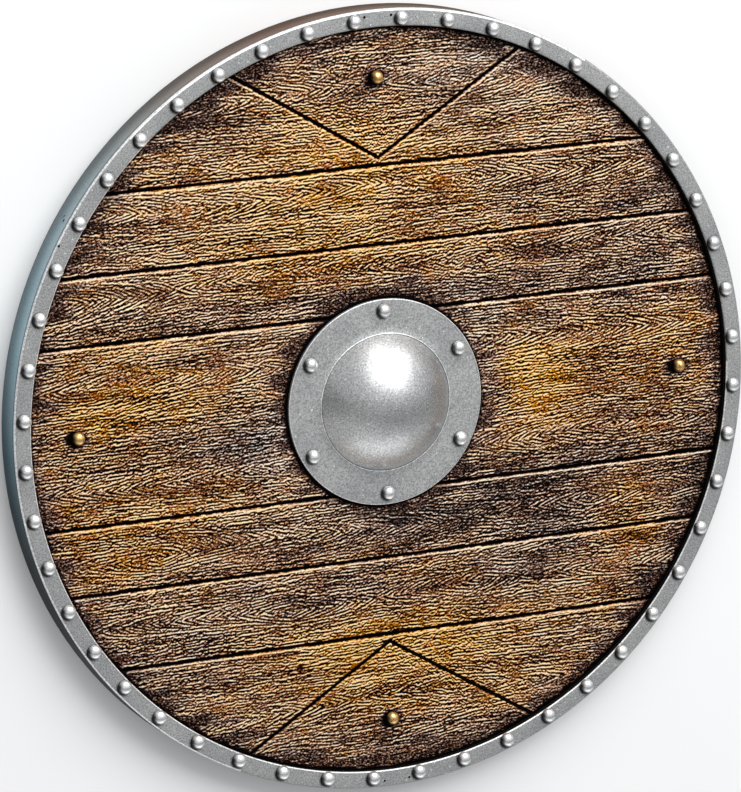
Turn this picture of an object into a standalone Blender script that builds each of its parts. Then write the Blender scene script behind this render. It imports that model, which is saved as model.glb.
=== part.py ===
"""Round wooden shield: boards held in a steel rim, with a domed boss, rivets, studs and a grip bar.

Lengths are metres. The shield lies on its back on the plane z = 0 with its face up. +Z points out of its
face, +Y towards its top, and the Z axis runs through the middle of the boss.
"""
import math

import bmesh
import bpy
from mathutils import Vector

# Clearance between two pieces that touch
GAP = 0.0003

# Steel rim: a hoop around the edge with a flat band that laps over the face
OUTER_RADIUS = 0.300
RIM_DEPTH = 0.0265
HOOP_THICKNESS = 0.002
BAND_INNER_RADIUS = 0.2866
BAND_HEIGHT = 0.0055
BAND_SHOULDER = 0.002
BACK_EDGE_ROUNDING = 0.0005
BAND_EDGE_ROUNDING = 0.0006
RIM_SEGMENTS = 96
RIM_RIVETS = 48
RIM_RIVET_CIRCLE = 0.2923
RIM_RIVET_SIDES = 8

# Boards
BOARD_THICKNESS = 0.011
BOARD_RADIUS = OUTER_RADIUS - HOOP_THICKNESS - GAP
FACE_Z = RIM_DEPTH - BAND_HEIGHT
BACK_Z = FACE_Z - BOARD_THICKNESS
INNER_JOINT_Y = 0.0687
MIDDLE_JOINT_Y = 0.1209
OUTER_JOINT_Y = 0.1811
WEDGE_TIP_Y = 0.1871
WEDGE_HALF_ANGLE = math.radians(24.5)
JOINT_CHAMFER = 0.0013
BOARD_ARC_STEP = math.radians(4.0)
HAND_HOLE_RADIUS = 0.049
HAND_HOLE_SIDES = 36

# Boss: a flat flange and a dome that is part of a sphere, in one sheet
SHEET_THICKNESS = 0.0025
DOME_SHEET_THICKNESS = 0.002
FLANGE_RADIUS = 0.0793
FLANGE_EDGE_ROUNDING = 0.0008
DOME_RADIUS = 0.0523
DOME_HEIGHT = 0.0283
DOME_RINGS = 6
BOSS_SEGMENTS = 36
FLANGE_TOP_Z = FACE_Z + GAP + SHEET_THICKNESS

# Round-headed rivets and studs
RIM_RIVET_RADIUS = 0.0057
RIM_RIVET_HEIGHT = 0.0046
BOSS_RIVETS = 6
BOSS_RIVET_CIRCLE = 0.0704
BOSS_RIVET_RADIUS = 0.0060
BOSS_RIVET_HEIGHT = 0.0047
STUD_CIRCLE = 0.2479
STUD_RADIUS = 0.0054
STUD_HEIGHT = 0.0046
SHANK_RADIUS = 0.0016
SHANK_CLEARANCE = 0.0003
TAIL_RADIUS = 0.0030
TAIL_THICKNESS = 0.0010
SHANK_SIDES = 10
HEAD_RINGS = 3

# Grip: a flat bar along Y with a rounded handle that rises into the hand hole
GRIP_LENGTH = 0.524
GRIP_LIFT = 0.0015
BAR_HALF_WIDTH = 0.018
BAR_END_HALF_WIDTH = 0.011
BAR_END_TAPER = 0.008
BAR_EDGE_CUT = 0.0015
BAR_TOP_Z = BACK_Z - GAP
HANDLE_HALF_WIDTH = 0.0135
HANDLE_EDGE_CUT = 0.0055
HANDLE_TOP_Z = 0.0175
HANDLE_HALF_LENGTH = 0.034
HANDLE_RAMP = 0.011
HANDLE_WAIST = 0.040

# Colour, roughness and metallic value of each material
FINISHES = {
    "wood": ((0.30, 0.17, 0.06, 1.0), 0.62, 0.0),
    "grip_wood": ((0.26, 0.15, 0.07, 1.0), 0.60, 0.0),
    "rim_steel": ((0.34, 0.34, 0.34, 1.0), 0.38, 1.0),
    "boss_steel": ((0.42, 0.42, 0.42, 1.0), 0.30, 1.0),
    "rivet_steel": ((0.62, 0.62, 0.62, 1.0), 0.22, 1.0),
    "brass": ((0.62, 0.40, 0.14, 1.0), 0.30, 1.0),
}


def clear_scene():
    for item in list(bpy.data.objects):
        bpy.data.objects.remove(item, do_unlink=True)


def make_material(name):
    """A Principled material with the named finish, made once."""
    existing = bpy.data.materials.get(name)
    if existing:
        return existing
    colour, roughness, metallic = FINISHES[name]
    material = bpy.data.materials.new(name)
    material.use_nodes = True
    shader = material.node_tree.nodes["Principled BSDF"]
    shader.inputs["Base Color"].default_value = colour
    shader.inputs["Roughness"].default_value = roughness
    shader.inputs["Metallic"].default_value = metallic
    material.diffuse_color = colour
    return material


def add_object(name, bm, material_name, round_piece=False):
    """Turn a bmesh into a named object with outward faces."""
    bmesh.ops.recalc_face_normals(bm, faces=bm.faces)
    mesh = bpy.data.meshes.new(name)
    bm.to_mesh(mesh)
    bm.free()
    mesh.materials.append(make_material(material_name))
    if round_piece:
        mesh.shade_smooth()
        mesh.set_sharp_from_angle(angle=math.radians(35))
    item = bpy.data.objects.new(name, mesh)
    bpy.context.scene.collection.objects.link(item)
    return item


def combine(target, tool, operation):
    """Join or cut a piece with another shape, which stays in the file as a hidden guide."""
    tool.hide_render = True
    tool.display_type = "WIRE"
    modifier = target.modifiers.new(f"{operation.lower()}_{tool.name}", "BOOLEAN")
    modifier.operation = operation
    modifier.solver = "EXACT"
    modifier.object = tool


def compass_point(radius, clockwise_angle):
    """A point on a circle, at an angle clockwise from the top of the shield."""
    return radius * math.sin(clockwise_angle), radius * math.cos(clockwise_angle)


def add_turned(bm, profile, segments, centre=(0.0, 0.0), phase=0.0):
    """Add a solid of revolution about a vertical axis.

    The profile lists (radius, z). It either starts and ends on the axis, or closes on itself off the axis.
    """
    rings = []
    for radius, z in profile:
        if radius == 0.0:
            rings.append([bm.verts.new((centre[0], centre[1], z))])
            continue
        ring = []
        for index in range(segments):
            angle = phase + index * math.tau / segments
            x, y = compass_point(radius, angle)
            ring.append(bm.verts.new((centre[0] + x, centre[1] + y, z)))
        rings.append(ring)
    pairs = list(zip(rings, rings[1:]))
    if len(rings[0]) > 1:
        pairs.append((rings[-1], rings[0]))
    for first, second in pairs:
        for index in range(segments):
            following = (index + 1) % segments
            corners = [
                first[index % len(first)],
                first[following % len(first)],
                second[following % len(second)],
                second[index % len(second)],
            ]
            bm.faces.new(list(dict.fromkeys(corners)))


def dome_profile(radius, height, base_z, rings):
    """Points of a spherical cap from its top on the axis down to its base circle."""
    sphere_radius = (radius ** 2 + height ** 2) / (2.0 * height)
    centre_z = base_z + height - sphere_radius
    base_angle = math.asin(min(1.0, radius / sphere_radius))
    points = [(0.0, base_z + height)]
    for step in range(1, rings + 1):
        angle = base_angle * step / rings
        points.append((sphere_radius * math.sin(angle), centre_z + sphere_radius * math.cos(angle)))
    return points


def drill(target, centres, radius, sides, low_z, high_z):
    """Bore round vertical holes through a piece."""
    bm = bmesh.new()
    for centre in centres:
        profile = [(0.0, high_z), (radius, high_z), (radius, low_z), (0.0, low_z)]
        add_turned(bm, profile, sides, centre)
    cutter = add_object(f"{target.name}_bore_{round(radius * 1e5)}", bm, "wood")
    combine(target, cutter, "DIFFERENCE")


def boss_rivet_centres():
    return [compass_point(BOSS_RIVET_CIRCLE, index * math.tau / BOSS_RIVETS) for index in range(BOSS_RIVETS)]


def stud_centres():
    names = ("stud_top", "stud_right", "stud_bottom", "stud_left")
    return {name: compass_point(STUD_CIRCLE, index * math.tau / 4) for index, name in enumerate(names)}


def build_rim():
    """Hoop and face band as one ring, with the rivet heads formed on the band."""
    shoulder_centre = (OUTER_RADIUS - BAND_SHOULDER, RIM_DEPTH - BAND_SHOULDER)
    profile = [
        (BAND_INNER_RADIUS, FACE_Z + GAP),
        (BAND_INNER_RADIUS, RIM_DEPTH - BAND_EDGE_ROUNDING),
        (BAND_INNER_RADIUS + BAND_EDGE_ROUNDING, RIM_DEPTH),
    ]
    for step in range(4):
        angle = math.pi / 2 * (1 - step / 3)
        profile.append((
            shoulder_centre[0] + BAND_SHOULDER * math.cos(angle),
            shoulder_centre[1] + BAND_SHOULDER * math.sin(angle),
        ))
    profile += [
        (OUTER_RADIUS, BACK_EDGE_ROUNDING),
        (OUTER_RADIUS - BACK_EDGE_ROUNDING, 0.0),
        (OUTER_RADIUS - HOOP_THICKNESS, 0.0),
        (OUTER_RADIUS - HOOP_THICKNESS, FACE_Z + GAP),
    ]
    half_segment = math.pi / RIM_SEGMENTS
    bm = bmesh.new()
    add_turned(bm, profile, RIM_SEGMENTS, phase=half_segment)
    rim = add_object("steel_rim", bm, "rim_steel", round_piece=True)

    heads = bmesh.new()
    root_z = RIM_DEPTH - BAND_EDGE_ROUNDING
    for index in range(RIM_RIVETS):
        angle = (index + 0.5) * math.tau / RIM_RIVETS
        centre = compass_point(RIM_RIVET_CIRCLE, angle)
        head = dome_profile(RIM_RIVET_RADIUS, RIM_RIVET_HEIGHT, RIM_DEPTH, HEAD_RINGS - 1)
        head += [(RIM_RIVET_RADIUS, root_z), (0.0, root_z)]
        add_turned(heads, head, RIM_RIVET_SIDES, centre, phase=angle + math.pi / RIM_RIVET_SIDES)
    combine(rim, add_object("rim_rivet_heads", heads, "rim_steel"), "UNION")
    return rim


def round_edge(start, end):
    """Points along the boards' common round edge, counter-clockwise from +X."""
    steps = max(1, round(abs(end - start) / BOARD_ARC_STEP))
    angles = [start + (end - start) * step / steps for step in range(steps + 1)]
    return [(BOARD_RADIUS * math.cos(angle), BOARD_RADIUS * math.sin(angle)) for angle in angles]


def strip_outline(low_joint, high_joint):
    """Outline of a board between two straight joints."""
    low = math.asin((low_joint + GAP / 2) / BOARD_RADIUS)
    high = math.asin((high_joint - GAP / 2) / BOARD_RADIUS)
    return round_edge(low, high) + round_edge(math.pi - high, math.pi - low)


def wedge_arm(tip_y):
    """The polar angle at which the wedge's right-hand edge, drawn from its tip, meets the round edge."""
    end_x, end_y = compass_point(BAND_INNER_RADIUS, WEDGE_HALF_ANGLE)
    direction = Vector((end_x, end_y - WEDGE_TIP_Y)).normalized()
    along = tip_y * direction.y
    reach = -along + math.sqrt(along ** 2 + BOARD_RADIUS ** 2 - tip_y ** 2)
    return math.atan2(tip_y + reach * direction.y, reach * direction.x)


def wedge_tips():
    """Heights of the notch's tip and the wedge's tip, which leave the usual gap between their edges."""
    end_x, end_y = compass_point(BAND_INNER_RADIUS, WEDGE_HALF_ANGLE)
    slope = math.atan2(end_y - WEDGE_TIP_Y, end_x)
    offset = GAP / 2 / math.cos(slope)
    return WEDGE_TIP_Y - offset, WEDGE_TIP_Y + offset


def notched_outline():
    """Outline of the outermost board with the V notch."""
    notch_tip = wedge_tips()[0]
    low = math.asin((OUTER_JOINT_Y + GAP / 2) / BOARD_RADIUS)
    high = wedge_arm(notch_tip)
    right = round_edge(low, high)
    left = round_edge(math.pi - high, math.pi - low)
    return right + [(0.0, notch_tip)] + left


def wedge_outline():
    """Outline of the board that fills the V notch."""
    tip = wedge_tips()[1]
    side = wedge_arm(tip)
    return [(0.0, tip)] + round_edge(side, math.pi - side)


def build_board(name, outline, upside_down=False):
    """A board with its straight joint edges chamfered on the face side."""
    sign = -1.0 if upside_down else 1.0
    bm = bmesh.new()
    back = bm.faces.new([bm.verts.new((sign * x, sign * y, BACK_Z)) for x, y in outline])
    extruded = bmesh.ops.extrude_face_region(bm, geom=[back])
    top_verts = [item for item in extruded["geom"] if isinstance(item, bmesh.types.BMVert)]
    bmesh.ops.translate(bm, verts=top_verts, vec=(0.0, 0.0, BOARD_THICKNESS))
    face_level = FACE_Z - GAP
    joint_limit = BOARD_RADIUS * math.cos(BOARD_ARC_STEP)
    joints = []
    for edge in bm.edges:
        on_face = all(vert.co.z > face_level for vert in edge.verts)
        middle = (edge.verts[0].co + edge.verts[1].co) / 2
        if on_face and middle.to_2d().length < joint_limit:
            joints.append(edge)
    bmesh.ops.bevel(bm, geom=joints, offset=JOINT_CHAMFER, offset_type="OFFSET", segments=1, affect="EDGES")
    return add_object(name, bm, "wood")


def build_boards():
    strips = {
        "outer_board": strip_outline(MIDDLE_JOINT_Y, OUTER_JOINT_Y),
        "inner_board": strip_outline(INNER_JOINT_Y, MIDDLE_JOINT_Y),
    }
    boards = {}
    for side, upside_down in (("upper", False), ("lower", True)):
        for suffix, outline in strips.items():
            name = f"{side}_{suffix}"
            boards[name] = build_board(name, outline, upside_down)
    for side, upside_down in (("top", False), ("bottom", True)):
        boards[f"{side}_board"] = build_board(f"{side}_board", notched_outline(), upside_down)
        boards[f"{side}_wedge_board"] = build_board(f"{side}_wedge_board", wedge_outline(), upside_down)
    boards["centre_board"] = build_board("centre_board", strip_outline(-INNER_JOINT_Y, INNER_JOINT_Y))
    return boards


def drill_boards(boards, grip):
    """Hand hole, and the holes for the rivets and studs."""
    bore = SHANK_RADIUS + SHANK_CLEARANCE
    low_z = -GAP
    high_z = FACE_Z + BOARD_THICKNESS
    rivets = boss_rivet_centres()
    studs = stud_centres()
    drill(boards["centre_board"], [(0.0, 0.0)], HAND_HOLE_RADIUS, HAND_HOLE_SIDES, low_z, high_z)
    beside = [centre for index, centre in enumerate(rivets) if index % 3]
    beside += [studs["stud_right"], studs["stud_left"]]
    drill(boards["centre_board"], beside, bore, SHANK_SIDES, low_z, high_z)
    drill(boards["upper_inner_board"], [rivets[0]], bore, SHANK_SIDES, low_z, high_z)
    drill(boards["lower_inner_board"], [rivets[3]], bore, SHANK_SIDES, low_z, high_z)
    drill(boards["top_wedge_board"], [studs["stud_top"]], bore, SHANK_SIDES, low_z, high_z)
    drill(boards["bottom_wedge_board"], [studs["stud_bottom"]], bore, SHANK_SIDES, low_z, high_z)
    through_grip = [rivets[0], rivets[3], studs["stud_top"], studs["stud_bottom"]]
    drill(grip, through_grip, bore, SHANK_SIDES, low_z, high_z)


def build_boss():
    """Dome and flange as one hollow sheet, open at the back."""
    base_z = FACE_Z + GAP
    sphere_radius = (DOME_RADIUS ** 2 + DOME_HEIGHT ** 2) / (2.0 * DOME_HEIGHT)
    inner_height = FLANGE_TOP_Z + DOME_HEIGHT - DOME_SHEET_THICKNESS - base_z
    inner_sphere = sphere_radius - DOME_SHEET_THICKNESS
    inner_radius = math.sqrt(inner_sphere ** 2 - (inner_sphere - inner_height) ** 2)
    outside = dome_profile(DOME_RADIUS, DOME_HEIGHT, FLANGE_TOP_Z, DOME_RINGS)
    flange = [
        (FLANGE_RADIUS - FLANGE_EDGE_ROUNDING, FLANGE_TOP_Z),
        (FLANGE_RADIUS, FLANGE_TOP_Z - FLANGE_EDGE_ROUNDING),
        (FLANGE_RADIUS, base_z),
    ]
    inside = dome_profile(inner_radius, inner_height, base_z, DOME_RINGS)
    bm = bmesh.new()
    add_turned(bm, outside + flange + inside[::-1], BOSS_SEGMENTS)
    boss = add_object("boss", bm, "boss_steel", round_piece=True)
    bore = SHANK_RADIUS + SHANK_CLEARANCE
    drill(boss, boss_rivet_centres(), bore, SHANK_SIDES, base_z - GAP, FLANGE_TOP_Z + GAP)
    return boss


def build_fastener(name, centre, head_radius, head_height, seat_z, back_z, material_name):
    """Round head, shank and flattened tail, turned in one piece."""
    seat_z = seat_z + GAP
    tail_z = back_z - GAP
    profile = dome_profile(head_radius, head_height, seat_z, HEAD_RINGS)
    profile += [
        (SHANK_RADIUS, seat_z),
        (SHANK_RADIUS, tail_z),
        (TAIL_RADIUS, tail_z),
        (TAIL_RADIUS, tail_z - TAIL_THICKNESS),
        (0.0, tail_z - TAIL_THICKNESS),
    ]
    bm = bmesh.new()
    add_turned(bm, profile, SHANK_SIDES, centre)
    return add_object(name, bm, material_name, round_piece=True)


def build_fasteners():
    for index, centre in enumerate(boss_rivet_centres()):
        back_z = GRIP_LIFT if index % 3 == 0 else BACK_Z
        build_fastener(f"boss_rivet_{index + 1}", centre, BOSS_RIVET_RADIUS, BOSS_RIVET_HEIGHT,
                       FLANGE_TOP_Z, back_z, "rivet_steel")
    for name, centre in stud_centres().items():
        back_z = GRIP_LIFT if name in ("stud_top", "stud_bottom") else BACK_Z
        build_fastener(name, centre, STUD_RADIUS, STUD_HEIGHT, FACE_Z, back_z, "brass")


def build_grip():
    """Bar with a handle, as eight-sided sections lofted along Y."""
    half_length = GRIP_LENGTH / 2
    ramp_end = HANDLE_HALF_LENGTH + HANDLE_RAMP
    waist_end = ramp_end + HANDLE_WAIST
    half_sections = [
        (0.0, HANDLE_HALF_WIDTH, HANDLE_EDGE_CUT, HANDLE_TOP_Z),
        (HANDLE_HALF_LENGTH, HANDLE_HALF_WIDTH, HANDLE_EDGE_CUT, HANDLE_TOP_Z),
        (ramp_end, HANDLE_HALF_WIDTH, BAR_EDGE_CUT, BAR_TOP_Z),
        (waist_end, BAR_HALF_WIDTH, BAR_EDGE_CUT, BAR_TOP_Z),
        (half_length - BAR_END_TAPER, BAR_HALF_WIDTH, BAR_EDGE_CUT, BAR_TOP_Z),
        (half_length, BAR_END_HALF_WIDTH, BAR_EDGE_CUT, BAR_TOP_Z),
    ]
    mirrored = [(-y, width, cut, top) for y, width, cut, top in half_sections[:0:-1]]
    bm = bmesh.new()
    loops = []
    for y, width, cut, top in mirrored + half_sections:
        corners = [
            (-width + cut, GRIP_LIFT), (width - cut, GRIP_LIFT), (width, GRIP_LIFT + cut), (width, top - cut),
            (width - cut, top), (-width + cut, top), (-width, top - cut), (-width, GRIP_LIFT + cut),
        ]
        loops.append([bm.verts.new((x, y, z)) for x, z in corners])
    for first, second in zip(loops, loops[1:]):
        for index in range(len(first)):
            following = (index + 1) % len(first)
            bm.faces.new((first[index], first[following], second[following], second[index]))
    bm.faces.new(loops[0])
    bm.faces.new(loops[-1])
    return add_object("hand_grip", bm, "grip_wood")


def main():
    clear_scene()
    build_rim()
    boards = build_boards()
    grip = build_grip()
    drill_boards(boards, grip)
    build_boss()
    build_fasteners()


main()
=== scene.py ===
"""Looks of a round wooden shield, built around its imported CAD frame.

Lengths are metres in the CAD frame. The shield lies on its back on z = 0, +Z out of its face, +Y to its top.
"""

from math import asin, atan2, cos, degrees, hypot, pi, radians, sin, tau

import bmesh
import bpy
import numpy as np
from mathutils import Matrix, Vector


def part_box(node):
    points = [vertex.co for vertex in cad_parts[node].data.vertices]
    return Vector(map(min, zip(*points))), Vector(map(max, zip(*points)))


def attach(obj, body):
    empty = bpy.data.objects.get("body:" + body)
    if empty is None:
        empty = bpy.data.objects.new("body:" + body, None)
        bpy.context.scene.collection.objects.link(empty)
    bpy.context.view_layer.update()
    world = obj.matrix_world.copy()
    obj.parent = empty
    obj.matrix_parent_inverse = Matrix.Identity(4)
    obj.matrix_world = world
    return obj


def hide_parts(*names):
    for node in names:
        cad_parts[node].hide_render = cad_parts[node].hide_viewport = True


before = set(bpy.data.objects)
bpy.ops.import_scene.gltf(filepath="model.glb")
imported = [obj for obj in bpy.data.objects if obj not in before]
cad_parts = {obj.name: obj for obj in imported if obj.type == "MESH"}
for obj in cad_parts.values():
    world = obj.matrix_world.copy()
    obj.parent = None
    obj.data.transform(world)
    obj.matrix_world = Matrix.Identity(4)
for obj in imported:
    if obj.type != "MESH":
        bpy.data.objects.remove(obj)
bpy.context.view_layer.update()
BODY = "root"
MM = 0.001

# ---- sizes, from the CAD boxes where they say it

GAP = 0.3 * MM
RIM_RADIUS = 300 * MM
RIM_DEPTH = 26.5 * MM
BAND_RADIUS = 286.6 * MM
BAND_SHOULDER = 2.0 * MM
HOOP_THICKNESS = 2.0 * MM
RIVET_COUNT = 48
RIVET_CIRCLE = 292.3 * MM
RIVET_RADIUS = 5.7 * MM
RIVET_HEIGHT = 4.6 * MM

BOARD_LOW, BOARD_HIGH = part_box("centre_board")
FACE_Z = BOARD_HIGH.z
BACK_Z = BOARD_LOW.z
BOARD_RADIUS = BOARD_HIGH.x
HAND_HOLE = 49 * MM
WEDGE_TIP_Y = 187.1 * MM
WEDGE_ARM_TURN = radians(24.5)
WEDGE_RISE = BAND_RADIUS * cos(WEDGE_ARM_TURN) - WEDGE_TIP_Y
WEDGE_SLOPE = WEDGE_RISE / (BAND_RADIUS * sin(WEDGE_ARM_TURN))
WEDGE_NORM = hypot(1, WEDGE_SLOPE)
WEDGE_CLEARANCE = GAP / 2 * WEDGE_NORM

BOSS_LOW, BOSS_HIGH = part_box("boss")
FLANGE_RADIUS = BOSS_HIGH.x
FLANGE_Z = BOSS_LOW.z + 2.5 * MM
DOME_RADIUS = 52.3 * MM
DOME_Z = BOSS_HIGH.z
DOME_SHEET = 2.0 * MM

SIDES = ("top", "right", "bottom", "left")
SHARP = 35.0
RNG = np.random.default_rng(5)


# ---- meshes

def smoothstep(value, low, high):
    ratio = np.clip((value - low) / (high - low), 0.0, 1.0)
    return ratio * ratio * (3 - 2 * ratio)


def new_object(name, mesh, materials):
    obj = bpy.data.objects.new(name, mesh)
    bpy.context.scene.collection.objects.link(obj)
    for material in materials:
        mesh.materials.append(material)
    return obj


def stand_for(obj, slot, *nodes):
    """obj rides on the shield's body and stands for CAD nodes; slot is not used."""
    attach(obj, BODY)
    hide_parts(*nodes)


def turned(profile, segments, centre=(0.0, 0.0), closed=False, phase=0.0):
    """Vertices and faces of a profile of (radius, height) points turned about a vertical axis."""
    vertices = []
    rings = []
    for radius, height in profile:
        count = segments if radius > 0 else 1
        rings.append(range(len(vertices), len(vertices) + count))
        for step in range(count):
            angle = phase + tau * step / segments
            x = centre[0] + radius * cos(angle)
            y = centre[1] + radius * sin(angle)
            vertices.append((x, y, height))
    pairs = list(zip(rings, rings[1:]))
    if closed:
        pairs.append((rings[-1], rings[0]))
    faces = []
    for upper, lower in pairs:
        for step in range(segments):
            after = (step + 1) % segments
            corners = ((upper, step), (lower, step), (lower, after), (upper, after))
            # A ring of one point gives a triangle
            faces.append(tuple(dict.fromkeys(ring[place % len(ring)] for ring, place in corners)))
    return vertices, faces


def mesh_of(name, parts, sharp_angle=SHARP):
    """One smooth-shaded mesh from several (vertices, faces) shells."""
    vertices = []
    faces = []
    for part_vertices, part_faces in parts:
        first = len(vertices)
        vertices.extend(part_vertices)
        faces.extend(tuple(first + index for index in face) for face in part_faces)
    mesh = bpy.data.meshes.new(name)
    mesh.from_pydata(vertices, [], faces)
    bm = bmesh.new()
    bm.from_mesh(mesh)
    bmesh.ops.recalc_face_normals(bm, faces=bm.faces)
    bm.to_mesh(mesh)
    bm.free()
    mesh.shade_smooth()
    mesh.set_sharp_from_angle(angle=radians(sharp_angle))
    return mesh


def arc(centre, radius, start, end, steps):
    """Profile points on an arc, from start to end degrees."""
    angles = [radians(start + (end - start) * step / steps) for step in range(steps + 1)]
    return [(centre[0] + radius * cos(angle), centre[1] + radius * sin(angle)) for angle in angles]


def head_profile(radius, height, base_z, rings=9):
    """Round rivet head from its top to its foot, a little fuller than a half ellipse."""
    points = []
    for ring in range(rings + 1):
        angle = pi / 2 * ring / rings
        points.append((radius * sin(angle) ** 0.96, base_z + height * cos(angle) ** 0.92))
    return points


def clockwise(radius, angle):
    """Point at a radius and an angle clockwise from the top."""
    return radius * sin(angle), radius * cos(angle)


def centre_of(node):
    low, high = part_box(node)
    return (low + high) / 2


def places_of(mesh):
    """Where the vertices are, one row each."""
    places = np.empty(len(mesh.vertices) * 3, np.float32)
    mesh.vertices.foreach_get("co", places)
    return places.reshape(-1, 3)


def write_values(mesh, name, values):
    """Stores a number at each vertex, for the materials to read."""
    layer = mesh.attributes.new(name, "FLOAT", "POINT")
    layer.data.foreach_set("value", values.astype(np.float32))


# ---- wood grain, on a grid over the whole face

CELL = 0.5 * MM
HALF = 300 * MM
SIDE = round(2 * HALF / CELL)
GRID = (np.arange(SIDE) + 0.5) * CELL - HALF
GRID_X, GRID_Y = np.meshgrid(GRID, GRID)
RADIUS = np.hypot(GRID_X, GRID_Y)
WAVES_X = np.fft.rfftfreq(SIDE, CELL)[None]
WAVES_Y = np.fft.fftfreq(SIDE, CELL)[:, None]

WANDER = radians(4.5)
ARROW_SLANT = radians(28)
ARROW_REACH_UP = 5.6 * MM
ARROW_REACH_DOWN = 6.6 * MM

# Middle line of each row of nested arrows in the grain, which way its leftmost arrows point (1 is right),
# and where they turn about; mm
FIGURES = [
    (241, 1, (-10, 60)), (165, 1, (15, 80)), (104, 1, (-165, 82, 112)), (37, -1, (-205,)),
    (-41, -1, (195,)), (-97, -1, (-185, 68, 168)), (-151, -1, (-80, -10, 80, 110)), (-231, 1, (-30, 50)),
]


def soft_noise(rng, length_x, length_y):
    """Noise of unit strength with blobs of these sizes in mm."""
    spectrum = np.fft.rfft2(rng.standard_normal((SIDE, SIDE)))
    blur = (length_x * MM * WAVES_X) ** 2 + (length_y * MM * WAVES_Y) ** 2
    spectrum *= np.exp(-2 * pi ** 2 * blur)
    noise = np.fft.irfft2(spectrum, s=(SIDE, SIDE))
    return noise / noise.std()


def grain_slant(rng):
    """Angle of the grain to +X, and how clear the rows of nested arrows are, 0 to 1.

    The grain runs along the boards and wanders a little, except in the arrows.
    """
    slant = WANDER * soft_noise(rng, 24, 4)
    arrows = np.zeros_like(slant)
    clear = smoothstep(soft_noise(rng, 14, 5), -1.1, 0.1)
    for middle, first, turns in FIGURES:
        line = middle * MM + 2.5 * MM * np.sin(GRID_X / 0.045 + middle)
        points_right = np.full_like(slant, float(first))
        for turn in turns:
            points_right *= np.where(GRID_X > turn * MM, -1.0, 1.0)
        away = GRID_Y - line
        reach = np.where(away > 0, ARROW_REACH_UP, ARROW_REACH_DOWN)
        slant += -points_right * np.sign(away) * ARROW_SLANT * np.exp(-np.abs(away) / reach)
        arrows = np.maximum(arrows, clear * np.exp(-(away / (1.5 * reach)) ** 2))
    return slant, arrows


def streaks(rng, slant, low, high, spread, passes=1):
    """Broken lines that follow the grain.

    low to high: lines per mm across it; spread: how short they are; more passes join them up.
    """
    fy = WAVES_Y * MM
    fx = WAVES_X * MM
    angles = np.radians(np.arange(-40, 41, 8.0))
    step = angles[1] - angles[0]
    lines = rng.standard_normal((SIDE, SIDE))
    for index in range(passes):
        spectrum = np.fft.rfft2(lines)
        lines = np.zeros((SIDE, SIDE))
        for angle in angles:
            weight = np.clip(1 - np.abs(slant - angle) / step, 0, None)
            across = np.abs(fy * cos(angle) - fx * sin(angle))
            along = fx * cos(angle) + fy * sin(angle)
            band = smoothstep(across, low - 0.05, low + 0.05)
            band = band * (1 - smoothstep(across, high - 0.08, high + 0.08))
            band = band * (0.3 + across) ** 1.5 * np.exp(-0.5 * (along / spread) ** 2)
            lines += weight * np.fft.irfft2(spectrum * band, s=(SIDE, SIDE))
        lines /= lines.std()
        if index < passes - 1:
            lines = np.tanh(1.5 * lines)
    return lines


def wood_grain(rng):
    """Lines of the grain, about -1 where they are cut deepest to 1 on the ridges."""
    slant, arrows = grain_slant(rng)
    arrow_lines = streaks(rng, slant, 0.28, 0.50, 0.040, passes=2)
    long_lines = streaks(rng, slant * 0.6, 0.24, 0.54, 0.028)
    dashes = streaks(rng, slant * 0.8, 0.17, 0.54, 0.11)
    specks = streaks(rng, slant * 0.0, 0.16, 0.52, 0.45)
    bands = 0.05 * soft_noise(rng, 18, 1.6) + 0.08 * soft_noise(rng, 9, 0.9)
    grain = arrows * 0.84 * arrow_lines + (1 - 0.8 * arrows) * 0.48 * long_lines
    grain = grain + (0.40 - 0.13 * arrows) * dashes + (0.50 - 0.15 * arrows) * specks + bands
    grain = grain * np.clip(1 + 0.34 * soft_noise(rng, 8, 3), 0.4, 1.7)
    grain = np.tanh(0.9 * grain / grain.std())
    return np.where(grain < 0, 1.14, 1.0) * grain / grain.std()


def sample(raster, x, y):
    """Value of a raster at points, interpolated."""
    column = np.clip((x + HALF) / CELL - 0.5, 0, SIDE - 1.001)
    row = np.clip((y + HALF) / CELL - 0.5, 0, SIDE - 1.001)
    c = column.astype(int)
    r = row.astype(int)
    s = column - c
    t = row - r
    lower = raster[r, c] * (1 - s) + raster[r, c + 1] * s
    upper = raster[r + 1, c] * (1 - s) + raster[r + 1, c + 1] * s
    return lower * (1 - t) + upper * t


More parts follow.
